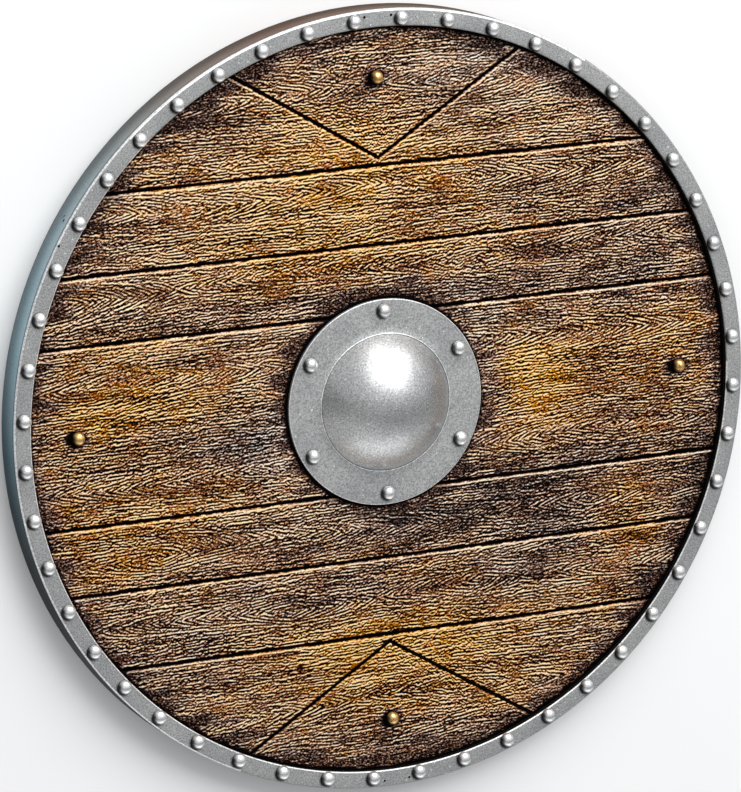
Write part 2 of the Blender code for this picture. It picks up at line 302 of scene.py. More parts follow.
# Places worn lighter (+) or left darker (-): x, y, half width, half height, change of tone; mm
TONES = [
    (-60, 205, 110, 34, 0.1), (-70, 150, 95, 26, 0.1), (15, 185, 75, 16, 0.06), (60, 246, 26, 14, 0.05),
    (-185, 28, 80, 16, 0.09), (-205, 60, 60, 10, 0.06), (128, 6, 26, 28, 0.19), (118, 22, 40, 10, 0.06),
    (-190, -72, 95, 26, 0.08), (190, -104, 32, 24, 0.13), (5, -190, 85, 28, 0.15),
    (176, -160, 22, 16, 0.09), (150, 214, 50, 22, 0.03), (240, 30, 30, 20, 0.05), (120, -186, 60, 14, 0.04),
    (-95, 82, 105, 9, -0.09), (120, 80, 130, 10, -0.11), (-145, -14, 60, 18, -0.07),
    (110, -72, 95, 16, -0.14), (20, -98, 60, 13, -0.14), (262, -75, 24, 42, -0.16),
    (130, -118, 70, 14, -0.07), (-140, -150, 85, 12, -0.06), (150, 145, 55, 18, -0.05),
    (228, 112, 45, 30, -0.06), (-190, -190, 55, 24, -0.1), (0, -262, 125, 13, -0.08),
    (190, -26, 60, 14, -0.05), (205, 76, 45, 22, -0.05), (-205, 150, 40, 14, -0.05),
    (0, 262, 100, 8, -0.03), (-130, 212, 34, 20, -0.09), (-20, 238, 20, 12, -0.08),
    (50, 240, 22, 12, -0.08), (10, 152, 25, 13, -0.08), (115, 140, 30, 12, -0.07),
    (206, 140, 30, 14, -0.07), (150, 102, 25, 10, -0.09), (140, 42, 22, 12, -0.1),
    (-120, -18, 30, 12, -0.1), (170, -100, 30, 12, -0.1), (105, -140, 30, 10, -0.09),
    (-40, -141, 24, 9, -0.07), (0, -240, 24, 12, 0.12), (-235, 8, 26, 16, 0.05), (-60, -222, 16, 8, 0.06),
    (55, -222, 22, 10, 0.08), (125, 240, 22, 14, 0.1), (-70, 113, 75, 17, 0.08), (85, 78, 34, 12, -0.08),
    (190, 62, 50, 10, -0.08), (-225, 16, 44, 16, 0.07), (96, 2, 12, 16, -0.1), (140, -28, 34, 14, 0.09),
    (-106, -34, 18, 22, -0.12), (185, -58, 50, 10, -0.1), (85, -84, 30, 12, -0.08),
    (-205, -102, 40, 13, 0.09), (150, -105, 34, 16, -0.08), (40, -95, 240, 24, -0.075),
    (60, -150, 190, 30, -0.075), (-120, 36, 110, 26, -0.02), (60, 96, 150, 20, -0.01),
    (-30, 150, 190, 30, 0.02),
]

# Places where the wood has gone grey (+) or kept its warm stain (-), the same way
GREYS = [
    (105, 250, 110, 28, 0.55), (-90, 62, 60, 14, 0.12), (0, -82, 130, 16, 0.12), (85, 58, 40, 14, 0.2),
    (-210, 120, 60, 40, 0.08), (-110, 235, 60, 20, 0.1), (-85, -16, 28, 34, 0.5), (84, 12, 18, 46, 0.5),
    (130, -105, 45, 12, 0.15), (180, 215, 40, 30, 0.2), (-10, 150, 130, 34, -0.3),
    (0, 112, 110, 18, -0.25), (-200, 18, 80, 24, -0.42), (-215, -72, 70, 44, -0.24),
    (150, 6, 100, 40, -0.32), (122, 14, 28, 18, -0.3), (250, 30, 30, 50, -0.2), (0, -186, 110, 30, -0.45),
    (40, -228, 110, 26, -0.3), (204, -120, 28, 36, -0.35), (40, -143, 40, 16, -0.2),
    (-20, 215, 60, 20, -0.22),
]

MIDDLE_TONE = 0.248
TONE_STRENGTH = 1.34
GREY_STRENGTH = 0.75
# Paler wood is less grey, by this much for each step of tone above the middle of the whole face
GREY_FALL = 1.9
FACE_TONE = 0.262


def add_spots(raster, spots, strength):
    """Adds soft-edged ovals to a raster."""
    for x, y, half_width, half_height, change in spots:
        away = ((GRID_X / MM - x) / half_width) ** 2 + ((GRID_Y / MM - y) / half_height) ** 2
        raster += strength * change * np.exp(-away ** 1.2)


def tone_map(rng):
    """Middle tone of the wood, 0 black to 1 white, how sooty it is, 0 to 1, and how grey, below 0 warmer."""
    tone = np.full((SIDE, SIDE), MIDDLE_TONE)
    add_spots(tone, TONES, TONE_STRENGTH)
    blotches = soft_noise(rng, 20, 3.5)
    fine_blotches = soft_noise(rng, 7, 1.5)
    tone += 0.036 * blotches + 0.042 * fine_blotches
    ragged = soft_noise(rng, 9, 2.2)
    rim_soot = smoothstep(RADIUS + 6 * MM * ragged, 267 * MM, 289 * MM)
    boss_soot = 1 - smoothstep(RADIUS + 4.5 * MM * ragged, 81 * MM, 94 * MM)
    grey = 0.05 + 0.06 * blotches
    add_spots(grey, GREYS, GREY_STRENGTH)
    grey -= GREY_FALL * (tone - FACE_TONE)
    return tone, np.maximum(rim_soot, 0.95 * boss_soot), np.clip(grey, -0.6, 1)


GRAIN = wood_grain(RNG)
TONE, SOOT, GREY = tone_map(RNG)
STUDS = [centre_of("stud_" + side) for side in SIDES]

# Black lines where the boards meet the rim and the boss, partly soot and partly painted contact shadow, and
# hollows by the studs, partly burnt and partly painted shadow
SCORCH_AND_SHADOW = smoothstep(RADIUS + 0.5 * MM * soft_noise(RNG, 2, 2), 283.0 * MM, 285.6 * MM)
SCORCH_AND_SHADOW = np.maximum(SCORCH_AND_SHADOW, 1 - smoothstep(np.hypot(GRID_X + 0.5 * MM, GRID_Y), 80.2 * MM, 83.0 * MM))
DIMPLES = 0
for stud in STUDS:
    # The hollow, partly a painted shadow, lies a little to the left of its stud and below it, away from the
    # light
    away = np.hypot((GRID_X - stud.x + 1.4 * MM) / 8.8, (GRID_Y - stud.y + 0.7 * MM) / 6.6) / MM
    away += 0.10 * soft_noise(RNG, 2, 1.2)
    SCORCH_AND_SHADOW = np.maximum(SCORCH_AND_SHADOW, 1 - smoothstep(away, 0.72, 1.12))
    SOOT = np.maximum(SOOT, 0.6 * (1 - smoothstep(away, 1.0, 1.5)))
    DIMPLES = DIMPLES + np.exp(-((np.hypot(GRID_X - stud.x + 1.0 * MM, GRID_Y - stud.y)) / (6.5 * MM)) ** 2)

# Relief: lines cut below the face, dimples under the studs, shallow waves left by the plane
LINE_DEPTH = 0.62 * MM
DIMPLE_DEPTH = 0.7 * MM
WAVE_DEPTH = 0.10 * MM
RELIEF = -LINE_DEPTH * np.clip(0.5 - 0.30 * GRAIN, 0.0, 1.25) ** 1.2 - DIMPLE_DEPTH * DIMPLES
RELIEF -= WAVE_DEPTH * np.clip(soft_noise(RNG, 30, 8) + 1.5, 0, 3)


def wood_levels(x, y, groove, lip_highlight):
    """Tone of the wood at points, 0 black to 1 white, its greyness and how much fine detail it has."""
    soot = sample(SOOT, x, y)
    tone = sample(TONE, x, y)
    scorch_and_shadow = sample(SCORCH_AND_SHADOW, x, y)
    level = (tone + (0.555 + 0.60 * tone) * sample(GRAIN, x, y)) * (1 - 0.78 * soot - 0.14 * soot ** 3)
    # Painted highlight on the lip at the upper edge of each joint, where the light from above catches it
    level = level + lip_highlight * (1 - 0.5 * soot) * (1.02 - level)
    level = level * (1 - groove) - 0.20 * groove
    # Painted shadow, with some scorching, along the rim and the boss and at the studs' lower left
    level = level * (1 - scorch_and_shadow) - 0.10 * scorch_and_shadow
    sooty = np.minimum(1.0, 2.2 * soot)
    grey = 0.45 * sooty + sample(GREY, x, y) * (1 - 0.7 * sooty)
    fine = 1 - np.maximum(np.maximum(groove, 0.7 * lip_highlight), 0.8 * scorch_and_shadow)
    return level, grey, fine


# ---- materials

def new_material(name, roughness, metallic=0.0, specular=0.5):
    material = bpy.data.materials.new(name)
    material.use_nodes = True
    shader = material.node_tree.nodes["Principled BSDF"]
    shader.inputs["Roughness"].default_value = roughness
    shader.inputs["Metallic"].default_value = metallic
    shader.inputs["Specular IOR Level"].default_value = specular
    return material, material.node_tree, shader


def add_node(tree, kind, output, *values, **settings):
    """Output of a new node.

    Settings in lower case are its options. Capitalised ones, and values in order, feed its inputs; each is
    a number or another node's output.
    """
    node = tree.nodes.new("ShaderNode" + kind)
    feeds = list(zip(node.inputs, values))
    for key, value in settings.items():
        if key.islower():
            setattr(node, key, value)
        else:
            feeds.append((node.inputs[key.replace("_", " ")], value))
    for socket, value in feeds:
        if isinstance(value, bpy.types.NodeSocket):
            tree.links.new(value, socket)
        else:
            socket.default_value = value
    return node.outputs[output]


def noise(tree, scale, stretch=(1, 1, 1), detail=4.0, roughness=0.55, distortion=0.0):
    """Noise in the object's own space, stretched by direction."""
    place = add_node(tree, "TexCoord", "Object")
    place = add_node(tree, "Mapping", "Vector", place, Scale=stretch)
    return add_node(
        tree, "TexNoise", "Fac", Vector=place, Scale=scale, Detail=detail, Roughness=roughness,
        Distortion=distortion,
    )


def ramp(tree, value, *stops):
    """Colour ramp over a value; stops are (position, grey or (r, g, b))."""
    node = tree.nodes.new("ShaderNodeValToRGB")
    elements = node.color_ramp.elements
    while len(elements) < len(stops):
        elements.new(0.5)
    for element, (position, colour) in zip(elements, stops):
        element.position = position
        rgb = (colour, colour, colour) if isinstance(colour, float) else colour
        element.color = (*rgb, 1.0)
    tree.links.new(value, node.inputs["Fac"])
    return node.outputs["Color"]


def mix(tree, blend, factor, first, second):
    return add_node(
        tree, "Mix", "Result", data_type="RGBA", blend_type=blend, Factor=factor, A=first, B=second,
    )


def multiply(tree, first, *others):
    for other in others:
        first = mix(tree, "MULTIPLY", 1.0, first, other)
    return first


def compute(tree, operation, *values):
    return add_node(tree, "Math", "Value", *values, operation=operation)


def attribute(tree, name, output="Fac"):
    """A value that the mesh carries at its vertices."""
    return add_node(tree, "Attribute", output, attribute_name=name)


def finish(tree, shader, colour, rough, height, strength, depth):
    """Connects colour, roughness and bump; the bump has a height map, a strength and a depth."""
    normal = add_node(tree, "Bump", "Normal", Strength=strength, Distance=depth, Height=height)
    for name, value in (("Base Color", colour), ("Roughness", rough), ("Normal", normal)):
        if value:
            tree.links.new(value, shader.inputs[name])


# Colour of the wood for each tone, as sRGB codes
PALETTE = [
    (0.00, (3, 0, 0)), (0.10, (42, 14, 0)), (0.20, (80, 43, 13)), (0.30, (114, 74, 38)),
    (0.40, (143, 101, 60)), (0.50, (171, 125, 81)), (0.60, (198, 152, 101)), (0.70, (222, 178, 123)),
    (0.82, (246, 208, 152)), (0.95, (255, 239, 197)),
]
# How bright the studio lights the face: the palette is divided by it
EXPOSURE = 1.12


def linear(code):
    value = code / 255
    return value / 12.92 if value <= 0.04045 else ((value + 0.055) / 1.055) ** 2.4


def make_board_face():
    """Stained wood: dark in its cut lines, worn light on its ridges, blackened by soot near the metal;
    painted shadow along the metal's edges and a painted highlight on the joints' lips.
    """
    material, tree, shader = new_material("board_face", 0.6, specular=0.03)
    dashes = noise(tree, 1.0, (520, 850, 10), detail=2.0, roughness=0.6)
    fibres = noise(tree, 1.0, (760, 1400, 10), detail=2.0, roughness=0.6)
    tint = noise(tree, 1.0, (90, 260, 10), detail=4.0, roughness=0.65)
    patches = noise(tree, 1.0, (11, 30, 10), detail=3.0, roughness=0.6)
    hues = noise(tree, 1.0, (80, 240, 14), detail=4.0, roughness=0.7)
    detail = compute(tree, "MULTIPLY", compute(tree, "SUBTRACT", dashes, 0.5), 2.45)
    detail = compute(tree, "MULTIPLY_ADD", compute(tree, "SUBTRACT", fibres, 0.5), 1.80, detail)
    detail = compute(tree, "MULTIPLY", detail, attribute(tree, "wood_fine"))
    level = compute(tree, "ADD", detail, attribute(tree, "wood_level"))
    colour = ramp(tree, level, *(
        (tone, tuple(linear(code) / EXPOSURE for code in codes)) for tone, codes in PALETTE
    ))
    richness = compute(tree, "MULTIPLY_ADD", tint, 0.95, 0.40)
    richness = compute(tree, "MULTIPLY_ADD", attribute(tree, "wood_grey"), -0.66, richness)
    richness = compute(tree, "MULTIPLY_ADD", patches, 0.30, richness)
    hue = compute(tree, "ADD", compute(tree, "MULTIPLY", hues, 0.08), 0.4475)
    colour = add_node(tree, "HueSaturation", "Color", Hue=hue, Saturation=richness, Color=colour)
    finish(tree, shader, colour, ramp(tree, tint, (0.3, 0.50), (0.7, 0.68)), dashes, 0.6, 0.5 * MM)
    return material


def make_plain_wood(name, dark, middle, light):
    """Plain sawn wood: soft bands of grain, pores and saw marks along X."""
    material, tree, shader = new_material(name, 0.7)
    bands = noise(tree, 1.0, (6, 120, 120), detail=6.0, roughness=0.6, distortion=0.4)
    pores = noise(tree, 1.0, (90, 1500, 1500), detail=3.0)
    colour = ramp(tree, bands, (0.30, dark), (0.52, middle), (0.72, light))
    colour = multiply(tree, colour, ramp(tree, pores, (0.34, 0.55), (0.50, 1.0)))
    finish(tree, shader, colour, ramp(tree, bands, (0.3, 0.60), (0.7, 0.78)), pores, 0.5, 0.3 * MM)
    return material


def dirt_and_corner_shade(tree, reach, darkest, *sides):
    """Painted shade in corners, with some dirt: dark where other surfaces are within reach, and again, as a
    painted shadow, for those towards sides.
    """
    shades = []
    for side in (None, *sides):
        corner = {"samples": 8, "Distance": reach}
        if side:
            corner["Normal"] = add_node(tree, "CombineXYZ", "Vector", *side)
        occlusion = add_node(tree, "AmbientOcclusion", "AO", **corner)
        shades.append(ramp(tree, occlusion, (0.30, darkest), (0.55, 0.45), (0.85, 1.0)))
    return multiply(tree, *shades)


# Painted shadow: corners hidden from this side are darkened again, so the shade lies at the lower left of
# what stands up
LIT_SIDE = (0.62, 0.52, 0.45)


def make_silver(name, light, roughness, fleck, metallic, reach, kind="flat"):
    """Satin silver-grey coating on steel: fine speckle, a few bright flecks and faint clouds.

    kind: flat, wall (coloured at its vertices with stain, painted reflection and painted shade) or head (a
    round head with painted shade on one side).
    """
    material, tree, shader = new_material(name, roughness, metallic, 0.15 if kind == "wall" else 0.5)
    speckle = noise(tree, 900.0, detail=1.0)
    clouds = noise(tree, 30.0, detail=5.0)
    if kind == "wall":
        shade = ramp(tree, speckle, (0.3, 0.75), (0.7, 1.0))
        # The wall's colour is partly stain, partly painted reflection and shade
        colour = multiply(tree, attribute(tree, "rim_stain_and_reflection", "Color"), shade)
    else:
        spread = 0.3 if kind == "head" else 1.0
        colour = ramp(
            tree, speckle, (0.32, light * (1 - 0.34 * spread)), (0.50, light),
            (0.68, light * (1 + 0.30 * spread)),
        )
        cloudy = ramp(tree, clouds, (0.30, (0.84, 0.85, 0.86)), (0.70, (1.0, 1.0, 0.99)))
        colour = multiply(tree, colour, cloudy)
        flecks = ramp(tree, noise(tree, 420.0, detail=1.0), (0.70, 0.0), (0.76, 1.0))
        colour = mix(tree, "MIX", flecks, colour, (min(1.0, light * fleck),) * 3 + (1.0,))
    if kind == "head":
        # Painted shade on the lower left of each head, and painted shade in the corner at its foot
        shaded_side = ramp(tree, attribute(tree, "shaded_side"), (0.0, 1.0), (1.0, 0.05))
        colour = multiply(tree, colour, shaded_side, dirt_and_corner_shade(tree, reach, 0.06))
    else:
        # Painted shade in the corners and painted shadow at the lower left of the heads
        colour = multiply(tree, colour, dirt_and_corner_shade(tree, reach, 0.04, LIT_SIDE))
    rough = ramp(tree, clouds, (0.3, roughness * 0.90), (0.7, roughness * 1.10))
    finish(tree, shader, colour, rough, speckle, 0.35, 0.12 * MM)
    return material


def make_brass():
    """Aged brass with painted shade on one side of each head."""
    material, tree, shader = new_material("brass", 0.3, 0.85)
    clouds = noise(tree, 420.0, detail=4.0)
    colour = ramp(
        tree, clouds, (0.30, (0.24, 0.10, 0.03)), (0.48, (0.92, 0.53, 0.18)), (0.70, (1.0, 0.76, 0.36)),
    )
    # Painted shade on the lower left of each head, and painted shade in the corner at its foot
    shaded_side = ramp(tree, attribute(tree, "shaded_side"), (0.0, 1.0), (1.0, 0.04))
    colour = multiply(tree, colour, shaded_side, dirt_and_corner_shade(tree, 4.0 * MM, 0.06))
    finish(tree, shader, colour, ramp(tree, clouds, (0.3, 0.34), (0.7, 0.20)), clouds, 0.2, 0.15 * MM)
    return material


def make_pit_shade():
    """Near-black painted shade in the small holes and on the inner face of the rim's band."""
    material, tree, shader = new_material("pit_shade", 0.9, specular=0.05)
    crumbs = noise(tree, 2500.0, detail=2.0)
    finish(tree, shader, ramp(tree, crumbs, (0.3, 0.002), (0.7, 0.012)), None, crumbs, 0.4, 0.1 * MM)
    return material


def make_floor():
    material, tree, shader = new_material("floor", 0.9, specular=0.1)
    colour = ramp(tree, noise(tree, 3.0, detail=3.0), (0.3, 0.90), (0.7, 0.92))
    tree.links.new(colour, shader.inputs["Base Color"])
    return material


BOARD_FACE = make_board_face()
BOARD_BACK = make_plain_wood("board_back", (0.13, 0.075, 0.034), (0.20, 0.12, 0.058), (0.27, 0.17, 0.085))
GRIP_WOOD = make_plain_wood("grip_wood", (0.10, 0.052, 0.022), (0.17, 0.092, 0.042), (0.24, 0.135, 0.065))
RIM_SILVER = make_silver("rim_silver", 0.40, 0.55, 1.9, 0.60, 2.4 * MM)
WALL_SILVER = make_silver("wall_silver", 1.0, 0.55, 1.0, 0.15, 2.4 * MM, kind="wall")
EDGE_HIGHLIGHT = make_silver("edge_highlight_silver", 0.95, 0.34, 1.0, 0.40, 1.0 * MM)
FLANGE_SILVER = make_silver("flange_silver", 0.44, 0.55, 1.9, 0.60, 2.6 * MM)
DOME_SILVER = make_silver("dome_silver", 0.60, 0.38, 1.5, 0.88, 2.2 * MM)
RIVET_SILVER = make_silver("rivet_silver", 1.0, 0.24, 1.0, 0.80, 4.0 * MM, kind="head")
BRASS = make_brass()
PIT_SHADE = make_pit_shade()


# ---- boards

EDGE_STEPS = np.array([0.0, 0.45, 0.9, 1.3, 1.8, 2.4, 3.1]) * MM
GROOVE_REACH = 1.5 * MM
GROOVE_DROP = 2.4 * MM
LIP_REACH = 3.2 * MM
LIP_DROP = 0.8 * MM
LIP_MIDDLE = 2.35 * MM
LIP_WIDTH = 0.75 * MM
# The boards lie lower where the rim's band covers them
COVERED_REACH = 3 * MM
COVERED_DROP = 0.9 * MM
THINNEST = 4 * MM
TIP_WIDTH = 0.15 * MM
BACK_CUT = 0.4 * MM


def spaced(start, end, step, dense_end=True):
    """Positions from start to end: close together at the rounded edges, even between."""
    low = start + EDGE_STEPS
    high = end - EDGE_STEPS[::-1] if dense_end else np.array([end])
    inner = max(2, round((high[0] - low[-1]) / step))
    middle = np.linspace(low[-1], high[0], inner + 1)[1:-1]
    return np.hstack([low, middle, high])


def joint_edges(distances):
    """Drop of the face at the joints, how deep in their dark groove a point is and how far up their lip,
    which gets a painted highlight.

    distances: for each joint edge, how far each point is from it, and how worn its lip is and how bright its
    painted highlight, 0 to 1.
    """
    nearest = np.minimum.reduce([distance for distance, _ in distances])
    drop = GROOVE_DROP * np.clip(1 - nearest / GROOVE_REACH, 0, 1) ** 1.3
    groove = 1 - smoothstep(nearest, 0.95 * MM, 1.45 * MM)
    lip_highlight = np.zeros_like(nearest)
    for distance, wear_and_highlight in distances:
        drop = drop + wear_and_highlight * LIP_DROP * np.clip(1 - distance / LIP_REACH, 0, 1) ** 1.5
        lip_highlight = np.maximum(lip_highlight, wear_and_highlight * np.exp(-((distance - LIP_MIDDLE) / LIP_WIDTH) ** 2))
    return drop, groove, lip_highlight


def made_by(result, kind):
    """What a bmesh operator made, of one kind."""
    return [item for item in result["geom"] if isinstance(item, kind)]


def draw_in(rim, cut):
    """Moves a board's back edge in, square to its sides."""
    outward = {}
    for edge in rim:
        face = edge.link_faces[0]
        face.normal_update()
        for vert in edge.verts:
            outward.setdefault(vert, Vector((0, 0, 0)))
            outward[vert] += Vector((face.normal.x, face.normal.y, 0.0))
    for vert, direction in outward.items():
        if direction.length > 1e-9:
            vert.co += direction.normalized() * -cut


class Board:
    """A board's mesh, gathered from patches of rows and columns over its face."""

    def __init__(self, name, back_cut=BACK_CUT):
        self.name = name
        self.low, self.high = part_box(name)
        self.back_cut = back_cut
        self.points = []
        self.faces = []
        self.uvs = []
        self.count = 0

    def add_patch(self, x, y, distances):
        """x and y: arrays of rows by columns; distances: as in joint_edges."""
        rows, columns = x.shape
        drop, groove, lip_highlight = joint_edges(distances)

        def at_corners(grid):
            """Four values for each face of the patch."""
            corners = ((0, 0), (0, 1), (1, 1), (1, 0))
            parts = [grid[row:rows - 1 + row, column:columns - 1 + column] for row, column in corners]
            return np.stack(parts, axis=-1).reshape(-1, 4)

        u, v = np.meshgrid(np.arange(columns) / (columns - 1), np.arange(rows) / (rows - 1))
        self.uvs.append((at_corners(u), at_corners(v), columns))
        self.faces.append(at_corners(self.count + np.arange(rows * columns).reshape(rows, columns)))
        self.points.append(np.stack([part.ravel() for part in (x, y, groove, lip_highlight, drop)]))
        self.count += rows * columns

    def add_strip(self, x, rows):
        """Adds a patch between two straight joints, of which the upper has a worn lip with a painted
        highlight.
        """
        y = np.repeat(rows[:, None], x.shape[1], axis=1)
        self.add_patch(x, y, [(y - self.low.y, 0.0), (self.high.y - y, 1.0)])

    def build(self):
        x, y, groove, lip_highlight, drop = np.concatenate(self.points, axis=1)
        z = FACE_Z + sample(RELIEF, x, y) * (1 - groove) * (1 - 0.7 * lip_highlight) - drop
        z = np.clip(z, BACK_Z + THINNEST, FACE_Z)
        covered = smoothstep(np.hypot(x, y), BAND_RADIUS, BAND_RADIUS + COVERED_REACH)
        z = z * (1 - covered) + (FACE_Z - COVERED_DROP) * covered
        mesh = bpy.data.meshes.new(self.name)
        places = np.stack([x, y, z], axis=-1)
        mesh.from_pydata(places.tolist(), [], np.concatenate(self.faces).tolist())
        for key, values in zip(("wood_level", "wood_grey", "wood_fine"), wood_levels(x, y, groove, lip_highlight)):
            write_values(mesh, key, values)
        self.write_uvs(mesh)
        self.close(mesh)
        stand_for(new_object("board_" + self.name, mesh, [BOARD_FACE, BOARD_BACK]), "boards", self.name)

    def write_uvs(self, mesh, margin=0.12, pad=0.004):
        """Lays the face out in strips down the map, above a margin for the back and sides."""
        strips = 4 if len(self.uvs) == 1 else 2
        height = (1 - margin) / (strips * len(self.uvs))
        us_all = []
        vs_all = []
        row = 0
        for us, vs, columns in self.uvs:
            cut = np.linspace(0, columns - 1, strips + 1).round() / (columns - 1)
            strip = np.clip(np.searchsorted(cut, us.mean(axis=1)) - 1, 0, strips - 1)
            low = cut[strip][:, None]
            high = cut[strip + 1][:, None]
            us_all.append(pad + (us - low) / (high - low) * (1 - 2 * pad))
            base = margin + (row + strip[:, None]) * height
            vs_all.append(base + pad + vs * (height - 2 * pad))
            row += strips
        uv = np.stack([np.concatenate(us_all).ravel(), np.concatenate(vs_all).ravel()], axis=-1)
        mesh.uv_layers.new(name="OFBake").data.foreach_set("uv", uv.ravel())

    def close(self, mesh):
        """Joins the patches, then adds the sides, a small cut along the back edge and the back."""
        bm = bmesh.new()
        bm.from_mesh(mesh)
        bmesh.ops.remove_doubles(bm, verts=[v for v in bm.verts if abs(v.co.x) < 1e-7], dist=1e-6)
        for face in bm.faces:
            face.smooth = True
        rim = [edge for edge in bm.edges if edge.is_boundary]
        for edge in rim:
            edge.smooth = False
        cut = self.back_cut
        sides = []
        for level in (BACK_Z + cut, BACK_Z) if cut else (BACK_Z,):
            made = bmesh.ops.extrude_edge_only(bm, edges=rim)
            sides += made_by(made, bmesh.types.BMFace)
            rim = [edge for edge in made_by(made, bmesh.types.BMEdge) if edge.is_boundary]
            for vert in made_by(made, bmesh.types.BMVert):
                vert.co.z = level
        if cut:
            draw_in(rim, cut)
            filled = bmesh.ops.triangle_fill(bm, use_beauty=True, edges=rim)
            back = made_by(filled, bmesh.types.BMFace)
        else:
            # One outline with sharp tips: its corners in order
            after = {}
            for edge in rim:
                loop = edge.link_loops[0]
                after[loop.link_loop_next.vert] = loop.vert
            outline = [next(iter(after))]
            while after[outline[-1]] is not outline[0]:
                outline.append(after[outline[-1]])
            back = [bm.faces.new(outline)]
        self.write_hidden_uvs(bm, sides + back)
        bmesh.ops.recalc_face_normals(bm, faces=bm.faces)
        bm.to_mesh(mesh)
        bm.free()

    def write_hidden_uvs(self, bm, faces):
        """Lays the back and the sides out in the map's margin."""
        uv = bm.loops.layers.uv["OFBake"]
        for face in faces:
            face.material_index = 1
            face.smooth = False
            for loop in face.loops:
                place = loop.vert.co
                across = (place.y - self.low.y) / (self.high.y - self.low.y)
                lift = (place.z - BACK_Z) / (FACE_Z - BACK_Z)
                loop[uv].uv = (
                    0.01 + 0.98 * (place.x + BOARD_RADIUS) / (2 * BOARD_RADIUS),
                    0.005 + 0.07 * across + 0.035 * lift,
                )


def circle_x(y, radius):
    return np.sqrt(np.clip(radius ** 2 - y ** 2, 0, None))


def strip_board(name, row_step, column_step):
    """A board between two straight joints."""
    board = Board(name)
    rows = spaced(board.low.y, board.high.y, row_step)
    reach = circle_x(rows, BOARD_RADIUS)
    columns = max(8, round(2 * reach.max() / column_step))
    board.add_strip(reach[:, None] * np.linspace(-1, 1, columns + 1)[None], rows)
    board.build()


def centre_board(name, row_step, column_step):
    """The middle board, in two halves that meet above and below its hand hole."""
    board = Board(name)
    rows = spaced(board.low.y, board.high.y, row_step)
    hole = circle_x(rows, HAND_HOLE)[:, None]
    hidden = circle_x(rows, FLANGE_RADIUS - 3 * MM)[:, None]
    reach = circle_x(rows, BOARD_RADIUS)[:, None]
    fine = max(8, round((reach.max() - hidden.min()) / column_step * 0.9))
    under = np.linspace(0, 1, 9)[None, :-1]
    over = np.linspace(0, 1, fine + 1)[None]
    right = np.hstack([hole + (hidden - hole) * under, hidden + (reach - hidden) * over])
    board.add_strip(-right[:, ::-1], rows)
    board.add_strip(right, rows)
    board.build()


def arm_distance(x, y):
    """How far points are from the top wedge's arms, above them positive."""
    return (y - WEDGE_TIP_Y - WEDGE_SLOPE * np.abs(x)) / WEDGE_NORM


def edge_columns(width, share):
    """Columns close together at an edge, within a share of the board's width in each row."""
    return EDGE_STEPS[None, 1:] * np.minimum(1, width * share / EDGE_STEPS[-1])


def notched_board(name, side, row_step, column_step, joint_wear_and_highlight, arm_wear_and_highlight):
    """The outermost long board, with a notch for the wedge. side: 1 at the top, -1 at the bottom."""
    board = Board(name, back_cut=0)
    near, far = sorted((side * board.low.y, side * board.high.y))
    rows = spaced(near, far, row_step, dense_end=False)
    notch = np.clip((rows - WEDGE_TIP_Y + WEDGE_CLEARANCE) / WEDGE_SLOPE, 0, None)
    reach = np.maximum(circle_x(rows, BOARD_RADIUS), notch + TIP_WIDTH)
    width = (reach - notch)[:, None]
    dense = edge_columns(width, 0.5)
    start = dense[:, -1:]
    even = np.linspace(0, 1, max(8, round(reach.max() / column_step)) + 1)
    inner = np.hstack([np.zeros_like(width), dense, start + (width - start) * even[None, 1:]])
    right = notch[:, None] + inner
    y = np.repeat(rows[:, None], right.shape[1], axis=1)
    for x in (-right[:, ::-1], right):
        arms = np.maximum(-arm_distance(x, y) - GAP / 2, 0)
        distances = [((y - near)[::side], joint_wear_and_highlight), (arms[::side], arm_wear_and_highlight)]
        board.add_patch(x[::side], side * y[::side], distances)
    board.build()


def wedge_board(name, side, row_step, column_step, arm_wear_and_highlight):
    """The wedge between the arms of the notch."""
    board = Board(name, back_cut=0)
    near = min(side * board.low.y, side * board.high.y)
    rows = spaced(near, BOARD_RADIUS - 0.02 * MM, row_step, dense_end=False)
    arm = np.clip((rows - WEDGE_TIP_Y - WEDGE_CLEARANCE) / WEDGE_SLOPE, TIP_WIDTH, None)
    width = np.minimum(arm, circle_x(rows, BOARD_RADIUS))[:, None]
    dense = edge_columns(width, 0.25)
    even = np.linspace(-1, 1, max(8, round(2 * width.max() / column_step)) + 1)
    middle = (width - dense[:, -1:]) * even[None, 1:-1]
    x = np.hstack([-width, -width + dense, middle, width - dense[:, ::-1], width])
    y = np.repeat(rows[:, None], x.shape[1], axis=1)
    arms = np.maximum(arm_distance(x, y) - GAP / 2, 0)
    board.add_patch(x[::side], side * y[::side], [(arms[::side], arm_wear_and_highlight)])
    board.build()


for strip in ("upper_outer", "upper_inner", "lower_inner", "lower_outer"):
    strip_board(strip + "_board", 0.56 * MM, 1.32 * MM)
centre_board("centre_board", 0.60 * MM, 1.45 * MM)
notched_board("top_board", 1, 0.60 * MM, 1.5 * MM, joint_wear_and_highlight=0.0, arm_wear_and_highlight=0.8)
notched_board("bottom_board", -1, 0.60 * MM, 1.5 * MM, joint_wear_and_highlight=1.0, arm_wear_and_highlight=0.2)
wedge_board("top_wedge_board", 1, 0.58 * MM, 1.6 * MM, arm_wear_and_highlight=0.2)
wedge_board("bottom_wedge_board", -1, 0.58 * MM, 1.6 * MM, arm_wear_and_highlight=0.4)


# ---- metal

